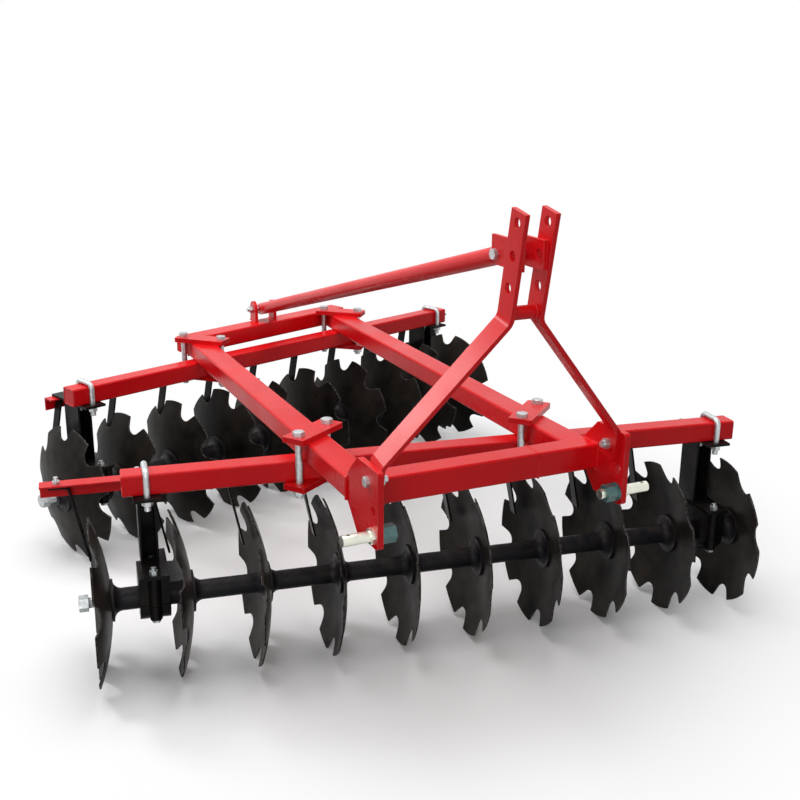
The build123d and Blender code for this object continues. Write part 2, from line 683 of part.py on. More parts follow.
with BuildPart() as link_pin_nuts:
    for side in (-1, 1):
        inward = Plane(
            (side * headstock_inner, link_pin_y, link_pin_z), x_dir=(0, 1, 0), z_dir=(-side, 0, 0)
        )
        with BuildSketch(inward):
            Circle(PIN_WASHER_DIAMETER / 2)
        extrude(amount=PIN_WASHER_THICKNESS)
        with BuildSketch(inward.offset(PIN_WASHER_THICKNESS)):
            RegularPolygon(hexagon(PIN_NUT_FLATS), 6)
        extrude(amount=PIN_NUT_HEIGHT)
        with BuildSketch(inward):
            Circle(LINK_PIN_THREAD / 2 + BOLT_HOLE_CLEARANCE)
        extrude(amount=PIN_WASHER_THICKNESS + PIN_NUT_HEIGHT, mode=Mode.SUBTRACT)
write(link_pin_nuts, "link_pin_nuts")

# Clamps: a plate over the rail and one under the beam, drawn together by two bolts that pass
# beside the rail and beside the beam. Beam's line and its angle, the rail's place, the plates'
# slant, and how far behind the crossing they sit:
clamp_places = []
for gang_y, angle, x, slant, back in [
    (FRONT_GANG_Y, FRONT_GANG_ANGLE, -rail_x, FRONT_LEFT_CLAMP_SLANT, 0),
    (FRONT_GANG_Y, FRONT_GANG_ANGLE, rail_x, FRONT_RIGHT_CLAMP_SLANT, FRONT_RIGHT_CLAMP_BACK),
    (REAR_GANG_Y, REAR_GANG_ANGLE, -rail_x, REAR_LEFT_CLAMP_SLANT, REAR_LEFT_CLAMP_BACK),
    (REAR_GANG_Y, REAR_GANG_ANGLE, rail_x, REAR_RIGHT_CLAMP_SLANT, REAR_RIGHT_CLAMP_BACK),
]:
    reach = (RAIL_WIDTH / 2 + CLAMP_BOLT_BESIDE_RAIL) / cos(radians(slant))
    middle = (x, gang_y + x * tan(radians(angle)) + back, 0)
    across_both = (cos(radians(slant)), sin(radians(slant)), 0)
    clamp_places.append((Plane(middle, x_dir=across_both, z_dir=(0, 0, 1)), reach))
for name, level in [
    ("clamp_top_plates", rail_top),
    ("clamp_bottom_plates", beam_bottom - CLAMP_THICKNESS),
]:
    with BuildPart() as clamp_plates:
        for place, reach in clamp_places:
            with BuildSketch(place.offset(level)):
                RectangleRounded(CLAMP_LENGTH, CLAMP_WIDTH, CLAMP_CORNER)
                with Locations((-reach, 0), (reach, 0)):
                    Circle(CLAMP_BOLT_DIAMETER / 2 + BOLT_HOLE_CLEARANCE, mode=Mode.SUBTRACT)
            extrude(amount=CLAMP_THICKNESS)
    write(clamp_plates, name)
clamp_grip = RAIL_HEIGHT + BEAM_HEIGHT + 2 * CLAMP_THICKNESS
with BuildPart() as clamp_bolts:
    for place, reach in clamp_places:
        for along in (-reach, reach):
            seat = upright(place, along, 0, rail_top + CLAMP_THICKNESS)
            bolt(seat, CLAMP_BOLT_DIAMETER, clamp_grip, washer=False)
write(clamp_bolts, "clamp_bolts")

# U-bolts over the beams, with their nuts below the hangers' plates
leg_across = BEAM_WIDTH / 2 + U_BOLT_GAP + U_BOLT_DIAMETER / 2
leg_top = beam_top + U_BOLT_GAP + U_BOLT_DIAMETER / 2
leg_bottom = hanger_plate_bottom - U_BOLT_NUT_HEIGHT - U_BOLT_TAIL
hanger_places = [
    (gang, place, frame, shift + side * bearing_reach)
    for gang, frame, shift, hollow_side in GANGS
    for place, side in [("left", -1), ("right", 1)]
]
with BuildPart() as u_bolts:
    for gang, place, frame, bearing in hanger_places:
        with BuildLine(across_shaft(frame, bearing + HANGER_OFFSET, 0)) as wrap:
            FilletPolyline(
                (-leg_across, leg_bottom),
                (-leg_across, leg_top),
                (leg_across, leg_top),
                (leg_across, leg_bottom),
                radius=TUBE_CORNER + U_BOLT_GAP + U_BOLT_DIAMETER / 2,
            )
        with BuildSketch(Plane(wrap.line @ 0, z_dir=wrap.line % 0)):
            Circle(U_BOLT_DIAMETER / 2)
        sweep(path=wrap.line)
        for across in (-leg_across, leg_across):
            with BuildSketch(upright(frame, bearing + HANGER_OFFSET, across, hanger_plate_bottom)):
                RegularPolygon(hexagon(U_BOLT_NUT_FLATS), 6)
            extrude(amount=-U_BOLT_NUT_HEIGHT)
write(u_bolts, "u_bolts")

# Hangers: plate under the beam, channel open to the front, plate on the bearing housing
bar_back = SCRAPER_BAR_FRONT + SCRAPER_BAR_LEG
arm_middle = (HANGER_ARM_FRONT + HANGER_ARM_BACK) / 2
arm_depth = HANGER_ARM_BACK - HANGER_ARM_FRONT
housing_shift = HOUSING_OFFSET - HANGER_OFFSET
bolt_across = HOUSING_BOLT_SPREAD / 2
foot_start = -HANGER_ARM_WIDTH / 2
foot_end = housing_shift + HOUSING_WIDTH / 2
foot_front = -bolt_across - HOUSING_BOSS_RADIUS
for gang, place, frame, bearing in hanger_places:
    middle = bearing + HANGER_OFFSET
    with BuildPart() as hanger:
        with BuildSketch(upright(frame, middle, 0, hanger_plate_bottom)):
            with Locations((0, (bar_back - HANGER_PLATE_FRONT) / 2)):
                Rectangle(HANGER_PLATE_WIDTH, bar_back + HANGER_PLATE_FRONT)
            with Locations((0, -leg_across), (0, leg_across)):
                Circle(U_BOLT_DIAMETER / 2 + BOLT_HOLE_CLEARANCE, mode=Mode.SUBTRACT)
        extrude(amount=HANGER_PLATE_THICKNESS)
        with BuildSketch(upright(frame, middle, 0, foot_plate_top)):
            with Locations((0, arm_middle)):
                Rectangle(HANGER_ARM_WIDTH, arm_depth)
            with Locations((0, arm_middle - HANGER_ARM_WALL)):
                Rectangle(HANGER_ARM_WIDTH - 2 * HANGER_ARM_WALL, arm_depth, mode=Mode.SUBTRACT)
        extrude(amount=hanger_plate_bottom - foot_plate_top)
        with BuildSketch(upright(frame, middle, 0, foot_plate_bottom)):
            with Locations(((foot_start + foot_end) / 2, (foot_front + HANGER_ARM_BACK) / 2)):
                Rectangle(foot_end - foot_start, HANGER_ARM_BACK - foot_front)
            with Locations((housing_shift, -bolt_across), (housing_shift, bolt_across)):
                Circle(HOUSING_BOLT_DIAMETER / 2 + BOLT_HOLE_CLEARANCE, mode=Mode.SUBTRACT)
        extrude(amount=FOOT_PLATE_THICKNESS)
    write(hanger, f"{gang}_{place}_hanger")

# Bearing housings: square upper half, round lower half, a boss round each bolt
seam = HOUSING_SPLIT / 2
for gang in ("front", "rear"):
    with BuildPart() as housings:
        for owner, place, frame, bearing in hanger_places:
            if owner != gang:
                continue
            axis = bearing + HOUSING_OFFSET
            side_face = across_shaft(frame, axis - HOUSING_WIDTH / 2)
            with BuildSketch(side_face):
                with Locations((0, (seam + HOUSING_TOP) / 2)):
                    Rectangle(2 * HOUSING_HALF_DEPTH, HOUSING_TOP - seam)
                with BuildLine():
                    ThreePointArc(
                        (-HOUSING_HALF_DEPTH, -seam),
                        (0, -seam - HOUSING_HALF_DEPTH),
                        (HOUSING_HALF_DEPTH, -seam),
                    )
                    Line((HOUSING_HALF_DEPTH, -seam), (-HOUSING_HALF_DEPTH, -seam))
                make_face()
            extrude(amount=HOUSING_WIDTH)
            for across in (-bolt_across, bolt_across):
                with BuildSketch(upright(frame, axis, across, shaft_height + seam)):
                    Circle(HOUSING_BOSS_RADIUS)
                extrude(amount=HOUSING_TOP - seam)
                with BuildSketch(upright(frame, axis, across, shaft_height - seam)):
                    Circle(HOUSING_BOSS_RADIUS)
                extrude(amount=-HOUSING_BOSS_DROP)
            with BuildSketch(upright(frame, axis, 0, foot_plate_bottom)):
                with Locations((0, -bolt_across), (0, bolt_across)):
                    Circle(HOUSING_BOLT_DIAMETER / 2 + BOLT_HOLE_CLEARANCE)
            extrude(amount=-2 * HOUSING_TOP, mode=Mode.SUBTRACT)
            with BuildSketch(side_face):
                Circle(JOURNAL_DIAMETER / 2 + JOURNAL_FIT)
            extrude(amount=HOUSING_WIDTH, mode=Mode.SUBTRACT)
    write(housings, f"{gang}_bearing_housings")

# Housing bolts, heads below: the front one has a nut, the rear one is tapped into the foot plate
boss_bottom = shaft_height - seam - HOUSING_BOSS_DROP
with BuildPart() as housing_bolts:
    for gang, place, frame, bearing in hanger_places:
        for across, nut in [(-bolt_across, True), (bolt_across, False)]:
            below = upright(frame, bearing + HOUSING_OFFSET, across, boss_bottom)
            head_seat = Plane(below.origin, x_dir=frame.x_dir, z_dir=(0, 0, -1))
            bolt(head_seat, HOUSING_BOLT_DIAMETER, foot_plate_top - boss_bottom, False, nut)
write(housing_bolts, "housing_bolts")

# Scraper bars under the hangers' plates, and one scraper on the hollow side of each disc
leg_front = bar_back - SCRAPER_BAR_WALL
foot_level = hanger_plate_bottom - SCRAPER_BAR_WALL
strap_middle = (SCRAPER_BAR_FRONT + leg_front) / 2
tip_height = shaft_height + SCRAPER_TIP_ABOVE_SHAFT
past_hanger = bearing_reach + SCRAPER_BAR_PAST_HANGER
for gang, frame, shift, hollow_side in GANGS:
    past_foot = half_row + SCRAPER_FOOT + bar_past_foot[gang]
    start = shift - (past_foot if hollow_side < 0 else past_hanger)
    with BuildPart() as scraper_bar:
        with BuildSketch(across_shaft(frame, start, hanger_plate_bottom)):
            with BuildLine():
                Polyline(
                    (SCRAPER_BAR_FRONT, -SCRAPER_BAR_WALL),
                    (SCRAPER_BAR_FRONT, 0),
                    (bar_back, 0),
                    (bar_back, -SCRAPER_BAR_LEG),
                    (leg_front, -SCRAPER_BAR_LEG),
                    (leg_front, -SCRAPER_BAR_WALL),
                    close=True,
                )
            make_face()
        extrude(amount=past_foot + past_hanger)
    write(scraper_bar, f"{gang}_scraper_bar")

    with BuildPart() as scrapers:
        for hub in disc_row:
            foot = frame.from_local_coords(Vector(shift + hub, strap_middle, 0))
            side_view = Plane(
                foot, x_dir=frame.x_dir * hollow_side, z_dir=frame.y_dir * -hollow_side
            )
            with BuildSketch(side_view):
                with BuildLine():
                    FilletPolyline(
                        (SCRAPER_FOOT + SCRAPER_FOOT_END, foot_level),
                        (SCRAPER_BEND, foot_level),
                        (SCRAPER_TIP_OFFSET, tip_height),
                        radius=SCRAPER_BEND_RADIUS,
                    )
                    offset(amount=SCRAPER_THICKNESS, side=Side.LEFT)
                make_face()
            extrude(amount=SCRAPER_WIDTH / 2, both=True)
    write(scrapers, f"{gang}_scrapers")
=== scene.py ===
# %% [markdown]
# A mounted disc harrow stands in a bright studio. Its tubes, plates, discs and bolts come from the
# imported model, which nothing here moves. This script gives every surface its finish, softens the
# sharp edges, and adds what is too small for the model: welds, threads, crowned bolt heads and the
# bolts that hold the scrapers.

# %% Load the frame
import json
import math

import bmesh
import bpy
from mathutils import Matrix, Vector


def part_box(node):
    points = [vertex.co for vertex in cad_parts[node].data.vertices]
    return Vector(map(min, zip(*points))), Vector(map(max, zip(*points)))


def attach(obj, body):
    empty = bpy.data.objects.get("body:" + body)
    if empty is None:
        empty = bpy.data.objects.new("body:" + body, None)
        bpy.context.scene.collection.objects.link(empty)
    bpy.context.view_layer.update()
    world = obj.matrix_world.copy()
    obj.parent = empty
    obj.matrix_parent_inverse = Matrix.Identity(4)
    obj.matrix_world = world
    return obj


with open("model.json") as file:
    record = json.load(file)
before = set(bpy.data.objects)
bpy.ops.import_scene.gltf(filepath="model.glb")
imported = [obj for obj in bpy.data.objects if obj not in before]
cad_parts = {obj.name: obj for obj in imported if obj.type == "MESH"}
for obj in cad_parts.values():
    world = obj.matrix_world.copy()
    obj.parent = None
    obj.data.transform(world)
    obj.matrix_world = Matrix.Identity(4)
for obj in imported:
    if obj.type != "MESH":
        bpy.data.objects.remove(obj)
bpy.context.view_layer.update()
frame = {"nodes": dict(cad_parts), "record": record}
nodes = frame["nodes"]
MM = 0.001

# %% [markdown]
# The camera stands left of the hitch, a little above the mast, and looks back over the frame. It
# could be placed by eye, but the long tubes show every small error, so it is written as a place,
# a direction and a focal length that were worked out from their straight edges.

# %% Camera
FOCAL_LENGTH_MM = 48.92
SENSOR_WIDTH_MM = 36.0
CAMERA_PLACE = Vector((-1.3466, -3.2577, 1.6269))
CAMERA_YAW = math.radians(25.27)
CAMERA_PITCH = math.radians(17.09)
CAMERA_ROLL = math.radians(-0.55)

forward = Vector(
    (
        math.sin(CAMERA_YAW) * math.cos(CAMERA_PITCH),
        math.cos(CAMERA_YAW) * math.cos(CAMERA_PITCH),
        -math.sin(CAMERA_PITCH),
    )
)
level_right = Vector((math.cos(CAMERA_YAW), -math.sin(CAMERA_YAW), 0))
right = level_right * math.cos(CAMERA_ROLL) + forward.cross(level_right) * math.sin(CAMERA_ROLL)
up = right.cross(forward)
camera_data = bpy.data.cameras.new("camera")
camera_data.lens = FOCAL_LENGTH_MM
camera_data.sensor_width = SENSOR_WIDTH_MM
camera = bpy.data.objects.new("camera", camera_data)
camera.matrix_world = Matrix.Translation(CAMERA_PLACE) @ (
    Matrix((right, up, -forward)).transposed().to_4x4()
)
bpy.context.scene.collection.objects.link(camera)
bpy.context.scene.camera = camera
print("camera at", [round(v, 2) for v in CAMERA_PLACE])

# %% [markdown]
# Enamel shows its colour when one broad lamp hangs over it, and a weaker one at the front left
# keeps the upright faces from going dark. A third stands where the sloping leg of the mast mirrors
# it, and puts a pale sheen on that leg. More lamps would each leave a hard spot on the gloss.

# %% Lamps
bpy.context.scene.view_settings.view_transform = "Standard"


def area_lamp(name, place, target, size, watts):
    """A square soft lamp that looks at the target."""
    data = bpy.data.lights.new(name, "AREA")
    data.size = size
    data.energy = watts
    lamp = bpy.data.objects.new(name, data)
    lamp.location = place
    lamp.rotation_euler = (Vector(target) - Vector(place)).to_track_quat("-Z", "Y").to_euler()
    bpy.context.scene.collection.objects.link(lamp)
    return lamp


SHEEN_DISTANCE = 5.0
LEAST_SLANT = 0.3
slope = max(
    (
        face for face in nodes["left_mast_leg"].data.polygons
        if face.normal.x < -LEAST_SLANT and face.normal.z > LEAST_SLANT
    ),
    key=lambda face: face.area,
)
gaze = (slope.center - CAMERA_PLACE).normalized()
sheen_place = slope.center + gaze.reflect(slope.normal) * SHEEN_DISTANCE
lamps = [
    area_lamp("overhead", (-0.3, 0.2, 4.6), (0, 0, 0.4), 3.4, 138),
    area_lamp("front left", (-2.4, -4.4, 2.4), (0, 0, 0.5), 2.4, 60),
    area_lamp("sheen", sheen_place, slope.center, 1.2, 72),
]
print("sheen lamp at", [round(v, 2) for v in sheen_place])
print("lamps", len(lamps))

# %% [markdown]
# The harrow stands before plain white. The sky is white to the camera and in reflections, and
# much weaker as a light, so that black paint stays black. The Light Path node tells these apart.

# %% White sky
SKY_LIGHT = 0.26


def white_to_eye(tree):
    """A value that is 1 where a camera ray, a reflection or a refraction looks."""
    path = tree.nodes.new("ShaderNodeLightPath")
    first = tree.nodes.new("ShaderNodeMath")
    first.operation = "MAXIMUM"
    second = tree.nodes.new("ShaderNodeMath")
    second.operation = "MAXIMUM"
    tree.links.new(path.outputs["Is Camera Ray"], first.inputs[0])
    tree.links.new(path.outputs["Is Glossy Ray"], first.inputs[1])
    tree.links.new(first.outputs[0], second.inputs[0])
    tree.links.new(path.outputs["Is Transmission Ray"], second.inputs[1])
    return second.outputs[0]


world = bpy.data.worlds.new("studio")
bpy.context.scene.world = world
world.use_nodes = True
sky = world.node_tree
seen = sky.nodes["Background"]
seen.inputs["Color"].default_value = (1, 1, 1, 1)
seen.inputs["Strength"].default_value = 1.0
light = sky.nodes.new("ShaderNodeBackground")
light.inputs["Color"].default_value = (1, 1, 1, 1)
light.inputs["Strength"].default_value = SKY_LIGHT
choose = sky.nodes.new("ShaderNodeMixShader")
sky.links.new(white_to_eye(sky), choose.inputs[0])
sky.links.new(light.outputs[0], choose.inputs[1])
sky.links.new(seen.outputs[0], choose.inputs[2])
sky.links.new(choose.outputs[0], sky.nodes["World Output"].inputs["Surface"])
print("sky as a light", SKY_LIGHT)

# %% [markdown]
# The floor is plain and pale, and keeps the shadow below the discs. A floor of one colour would
# end in a line where it meets the sky, so away from the harrow it fades to plain white. As a
# light it is grey, because a white floor would throw too much red and white up into the frame.

# %% Floor
FLOOR_SIZE = 60.0
FLOOR_SEEN = 0.95
FLOOR_AS_LIGHT = 0.20
FADE_START = 0.9
FADE_END = 1.9

bpy.ops.mesh.primitive_plane_add(size=FLOOR_SIZE)
floor = bpy.context.object
floor.name = "floor"
floor_paint = bpy.data.materials.new("pale floor")
floor_paint.use_nodes = True
ground = floor_paint.node_tree
pale = ground.nodes["Principled BSDF"]
pale.inputs["Base Color"].default_value = (FLOOR_SEEN, FLOOR_SEEN, FLOOR_SEEN, 1)
pale.inputs["Roughness"].default_value = 0.9
pale.inputs["Specular IOR Level"].default_value = 0.1
grey = ground.nodes.new("ShaderNodeBsdfDiffuse")
grey.inputs["Color"].default_value = (FLOOR_AS_LIGHT, FLOOR_AS_LIGHT, FLOOR_AS_LIGHT, 1)
glow = ground.nodes.new("ShaderNodeEmission")
place = ground.nodes.new("ShaderNodeTexCoord")
reach = ground.nodes.new("ShaderNodeVectorMath")
reach.operation = "LENGTH"
fade = ground.nodes.new("ShaderNodeMapRange")
fade.inputs["From Min"].default_value = FADE_START
fade.inputs["From Max"].default_value = FADE_END
fade.interpolation_type = "SMOOTHSTEP"
far = ground.nodes.new("ShaderNodeMixShader")
eye = ground.nodes.new("ShaderNodeMixShader")
ground.links.new(place.outputs["Object"], reach.inputs[0])
ground.links.new(reach.outputs["Value"], fade.inputs["Value"])
ground.links.new(fade.outputs["Result"], far.inputs[0])
ground.links.new(pale.outputs[0], far.inputs[1])
ground.links.new(glow.outputs[0], far.inputs[2])
ground.links.new(white_to_eye(ground), eye.inputs[0])
ground.links.new(grey.outputs[0], eye.inputs[1])
ground.links.new(far.outputs[0], eye.inputs[2])
ground.links.new(eye.outputs[0], ground.nodes["Material Output"].inputs["Surface"])
floor.data.materials.append(floor_paint)
print("floor fades from", FADE_START, "to", FADE_END, "m")

# %% [markdown]
# Real paint and metal are never even. Four effects come back in several finishes, so each is a node
# group, built once and placed in each material with its own values: unevenness, edges that are bare
# on the discs and carry a painted highlight on the red enamel, the skin of a sprayed or cast surface,
# and dust that has settled.

# %% Making a group
def new_group(name, inputs, output):
    """An empty shader group with number inputs and one number output."""
    group = bpy.data.node_groups.new(name, "ShaderNodeTree")
    for label, value in inputs:
        socket = group.interface.new_socket(label, in_out="INPUT", socket_type="NodeSocketFloat")
        socket.default_value = value
    group.interface.new_socket(output, in_out="OUTPUT", socket_type="NodeSocketFloat")
    return group, group.nodes.new("NodeGroupInput"), group.nodes.new("NodeGroupOutput")


def noise_in(group, entry, detail):
    """Noise that stays put on the piece, as coarse or fine as the group's Scale."""
    coordinates = group.nodes.new("ShaderNodeTexCoord")
    noise = group.nodes.new("ShaderNodeTexNoise")
    noise.inputs["Detail"].default_value = detail
    group.links.new(coordinates.outputs["Object"], noise.inputs["Vector"])
    group.links.new(entry.outputs["Scale"], noise.inputs["Scale"])
    return noise.outputs["Fac"]


def ranged(group, value, low, high):
    """Spreads a value from low..high to 0..1 and holds it there."""
    spread = group.nodes.new("ShaderNodeMapRange")
    spread.inputs["From Min"].default_value = low
    spread.inputs["From Max"].default_value = high
    group.links.new(value, spread.inputs["Value"])
    return spread.outputs["Result"]


# %% [markdown]
# Sprayed paint and rolled steel shine unevenly. The mask could be painted by hand, but noise needs
# no unwrapped surface and goes on over any piece. It runs between two values that each material
# picks, such as its smoothest and roughest.

# %% Unevenness
BLOTCHES = (0.32, 0.68)

uneven, entry, leave = new_group("uneven", [("Scale", 9.0), ("Low", 0.0), ("High", 1.0)], "Value")
blotches = ranged(uneven, noise_in(uneven, entry, detail=5.0), *BLOTCHES)
between = uneven.nodes.new("ShaderNodeMapRange")
uneven.links.new(blotches, between.inputs["Value"])
uneven.links.new(entry.outputs["Low"], between.inputs["To Min"])
uneven.links.new(entry.outputs["High"], between.inputs["To Max"])
uneven.links.new(between.outputs["Result"], leave.inputs["Value"])
print("group", uneven.name)

# %% [markdown]
# Paint is thin and rubbed on corners, and bare steel shows on the rims of the discs. On the red
# enamel the pale colour along the corners is a painted highlight. A Bevel node gives the normal that
# a rounded edge would have, and where it leaves the real normal there is an edge. Edges marked on the
# surface would look the same, but would have to be marked again after each change. Noise breaks the
# line up.

# %% Edge wear and painted edge highlights
EDGE_SAMPLES = 6
EDGE_TURN = (0.01, 0.12)
BROKEN_LINE = (0.38, 0.6)

wear_and_highlight, entry, leave = new_group("edge wear and highlight", [("Width", 0.002), ("Scale", 60.0)], "Mask")
rounded = wear_and_highlight.nodes.new("ShaderNodeBevel")
rounded.samples = EDGE_SAMPLES
surface = wear_and_highlight.nodes.new("ShaderNodeNewGeometry")
meet = wear_and_highlight.nodes.new("ShaderNodeVectorMath")
meet.operation = "DOT_PRODUCT"
away = wear_and_highlight.nodes.new("ShaderNodeMath")
away.operation = "SUBTRACT"
away.inputs[0].default_value = 1.0
broken = wear_and_highlight.nodes.new("ShaderNodeMath")
broken.operation = "MULTIPLY"
wear_and_highlight.links.new(entry.outputs["Width"], rounded.inputs["Radius"])
wear_and_highlight.links.new(rounded.outputs["Normal"], meet.inputs[0])
wear_and_highlight.links.new(surface.outputs["Normal"], meet.inputs[1])
wear_and_highlight.links.new(meet.outputs["Value"], away.inputs[1])
wear_and_highlight.links.new(ranged(wear_and_highlight, away.outputs[0], *EDGE_TURN), broken.inputs[0])
wear_and_highlight.links.new(ranged(wear_and_highlight, noise_in(wear_and_highlight, entry, detail=3.0), *BROKEN_LINE), broken.inputs[1])
wear_and_highlight.links.new(broken.outputs[0], leave.inputs["Mask"])
print("group", wear_and_highlight.name)

# %% [markdown]
# The skin is a height: long soft waves are orange peel in enamel, and short ones are the grain of
# sand-cast iron. Both are a fraction of a millimetre high. Real displacement could make them, but
# would take millions of triangles for what a bump in the shader does as well.

# %% Skin
skin, entry, leave = new_group("skin", [("Scale", 500.0)], "Height")
skin.links.new(noise_in(skin, entry, detail=2.0), leave.inputs["Height"])
print("group", skin.name)

# %% [markdown]
# Dust lies on what faces up. The direction is taken on the piece itself, so that dust turns with
# a disc and doesn't slide over it. It could be a thin mesh of its own, but a film has no outline,
# so a mask for its colour is enough.

# %% Dust
FACES_UP = (-0.6, 0.9)
PATCHES = (0.35, 0.7)

dust, entry, leave = new_group("settled dust", [("Scale", 14.0), ("Amount", 0.3)], "Mask")
facing = dust.nodes.new("ShaderNodeTexCoord")
split = dust.nodes.new("ShaderNodeSeparateXYZ")
patchy = dust.nodes.new("ShaderNodeMath")
patchy.operation = "MULTIPLY"
much = dust.nodes.new("ShaderNodeMath")
much.operation = "MULTIPLY"
dust.links.new(facing.outputs["Normal"], split.inputs[0])
dust.links.new(ranged(dust, split.outputs["Z"], *FACES_UP), patchy.inputs[0])
dust.links.new(ranged(dust, noise_in(dust, entry, detail=6.0), *PATCHES), patchy.inputs[1])
dust.links.new(patchy.outputs[0], much.inputs[0])
dust.links.new(entry.outputs["Amount"], much.inputs[1])
dust.links.new(much.outputs[0], leave.inputs["Mask"])
print("group", dust.name)

# %% [markdown]
# A finish is one Principled shader. The helpers place a group with its values, and lay one colour
# over another where a mask says so. Each material could be wired by hand, but helpers keep seven
# finishes wired alike, so that a row of values is all that sets them apart.

# %% Helpers for a finish
COAT_ROUGHNESS = 0.12


def new_finish(name, metallic, specular, coat):
    """A material and its shader, with the values that are the same all over set on the shader."""
    material = bpy.data.materials.new(name)
    material.use_nodes = True
    shader = material.node_tree.nodes["Principled BSDF"]
    shader.inputs["Metallic"].default_value = metallic
    shader.inputs["Specular IOR Level"].default_value = specular
    shader.inputs["Coat Weight"].default_value = coat
    shader.inputs["Coat Roughness"].default_value = COAT_ROUGHNESS
    return material, material.node_tree, shader


def use(tree, group, **values):
    """Places a group in a material with its own values and returns what it puts out."""
    placed = tree.nodes.new("ShaderNodeGroup")
    placed.node_tree = group
    for label, value in values.items():
        placed.inputs[label].default_value = value
    return placed.outputs[0]


def lay_over(tree, below, colour, mask):
    """Another colour over the one below, where the mask is 1."""
    mix = tree.nodes.new("ShaderNodeMix")
    mix.data_type = "RGBA"
    # A colour mix has its two colours in sockets 6 and 7, and puts out its result in 2
    below_socket, over_socket = mix.inputs[6], mix.inputs[7]
    if isinstance(below, tuple):
        below_socket.default_value = (*below, 1)
    else:
        tree.links.new(below, below_socket)
    over_socket.default_value = (*colour, 1)
    tree.links.new(mask, mix.inputs[0])
    return mix.outputs[2]


def set_bump(tree, shader, height, strength, distance):
    """Sends a height to the shader's normal."""
    bump = tree.nodes.new("ShaderNodeBump")
    bump.inputs["Strength"].default_value = strength
    bump.inputs["Distance"].default_value = distance
    tree.links.new(height, bump.inputs["Height"])
    tree.links.new(bump.outputs["Normal"], shader.inputs["Normal"])


def build_finish(name, base, layers, rough, peel, metallic=0.0, specular=0.5, coat=0.0):
    """Base colour, layers of (colour, mask group, its values), range of roughness and skin."""
    material, tree, shader = new_finish(name, metallic, specular, coat)
    colour = base
    for over, group, values in layers:
        colour = lay_over(tree, colour, over, use(tree, group, **values))
    tree.links.new(colour, shader.inputs["Base Color"])
    low, high, patches = rough
    gloss = use(tree, uneven, Scale=patches, Low=low, High=high)
    tree.links.new(gloss, shader.inputs["Roughness"])
    fineness, strength, depth = peel
    set_bump(tree, shader, use(tree, skin, Scale=fineness), strength, depth)
    return material


# %% [markdown]
# Each row is one real finish. Red enamel is glossy over a slightly uneven red, and a painted pale
# highlight runs along its corners. The discs are oiled black steel with bare rims, and the warm grey
# laid over them in random blotches is a painted sheen. Spools are black iron. Zinc is bright on new
# bolts, and yellow or blue-green where it is tinted. Scanned pictures of such surfaces could be used,
# but values can be tuned, and they fit every piece at any size.

# %% Finishes
RED = (0.74, 0.006, 0.010)
DEEP_RED = (0.66, 0.003, 0.007)
# The pale red is a painted highlight along the corners of the enamel.
HIGHLIGHT_RED = (0.86, 0.13, 0.13)
EARTH = (0.17, 0.13, 0.10)
BLACK = (0.003, 0.003, 0.0034)
DEEP_BLACK = (0.0012, 0.0012, 0.0014)
# A warm grey in random blotches. On the discs it is a painted sheen, and on black enamel a faint haze.
HAZE_AND_SHEEN = (0.042, 0.036, 0.031)
BARE_STEEL = (0.36, 0.35, 0.34)

finishes = {
    "red_paint": build_finish(
        "red enamel", RED,
        # The pale red on the corners is a painted highlight.
        [(DEEP_RED, uneven, {"Scale": 5.0}), (HIGHLIGHT_RED, wear_and_highlight, {"Width": 0.0022, "Scale": 25.0}),
         (EARTH, dust, {"Scale": 30.0, "Amount": 0.06})],
        (0.24, 0.34, 7.0), (260.0, 0.06, 0.0008), specular=0.14, coat=0.05,
    ),
    "black_paint": build_finish(
        "black enamel", BLACK,
        [(HAZE_AND_SHEEN, uneven, {"Scale": 16.0, "High": 0.2}), (EARTH, dust, {"Amount": 0.07})],
        (0.22, 0.42, 12.0), (300.0, 0.12, 0.0008), specular=0.08,
    ),
    "disc_steel": build_finish(
        "disc steel", DEEP_BLACK,
        # The warm grey blotches on the discs are a painted sheen.
        [(HAZE_AND_SHEEN, uneven, {"Scale": 5.0, "High": 0.85}), (EARTH, dust, {"Scale": 20.0, "Amount": 0.07}),
         (BARE_STEEL, wear_and_highlight, {"Width": 0.0025, "Scale": 90.0})],
        (0.30, 0.50, 9.0), (140.0, 0.10, 0.001), specular=0.05,
    ),
    "cast_spools": build_finish(
        "cast iron", (0.006, 0.006, 0.009),
        [(EARTH, dust, {"Scale": 26.0, "Amount": 0.16}), (HAZE_AND_SHEEN, wear_and_highlight, {"Width": 0.004})],
        (0.34, 0.60, 20.0), (420.0, 0.40, 0.0016), specular=0.15,
    ),
    "zinc_plate": build_finish(
        "bright zinc", (0.58, 0.60, 0.61),
        [((0.36, 0.38, 0.39), uneven, {"Scale": 90.0, "High": 0.8})],
        (0.38, 0.56, 60.0), (900.0, 0.08, 0.0004), metallic=1.0,
    ),
    "yellow_zinc": build_finish(
        "yellow zinc", (0.80, 0.79, 0.68),
        [((0.66, 0.69, 0.60), uneven, {"Scale": 45.0, "High": 0.8})],
        (0.26, 0.44, 50.0), (900.0, 0.08, 0.0004), metallic=1.0,
    ),
    "grey_nuts": build_finish(
        "blue-green zinc", (0.06, 0.14, 0.145),
        [((0.12, 0.20, 0.18), uneven, {"Scale": 70.0, "High": 0.8})],
        (0.32, 0.50, 50.0), (900.0, 0.10, 0.0004), metallic=0.6,
    ),
}
print("finishes", ", ".join(material.name for material in finishes.values()))

# %% [markdown]
# The record says which finish each node has. Sawn, pressed and cast edges are never knife sharp,
# and a hair's breadth of rounding catches light along them. Modifiers do this without touching
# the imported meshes: welded vertices, a narrow bevel, smooth shading up to a set angle, and normals
# weighted by area, so that a broad flat face stays flat beside its rounded edge.

# %% Soft shading
SAME_POINT = 0.01 * MM
EDGE_ROUNDING = 0.7 * MM
EDGE_SEGMENTS = 2
SHARP_ANGLE = math.radians(32)

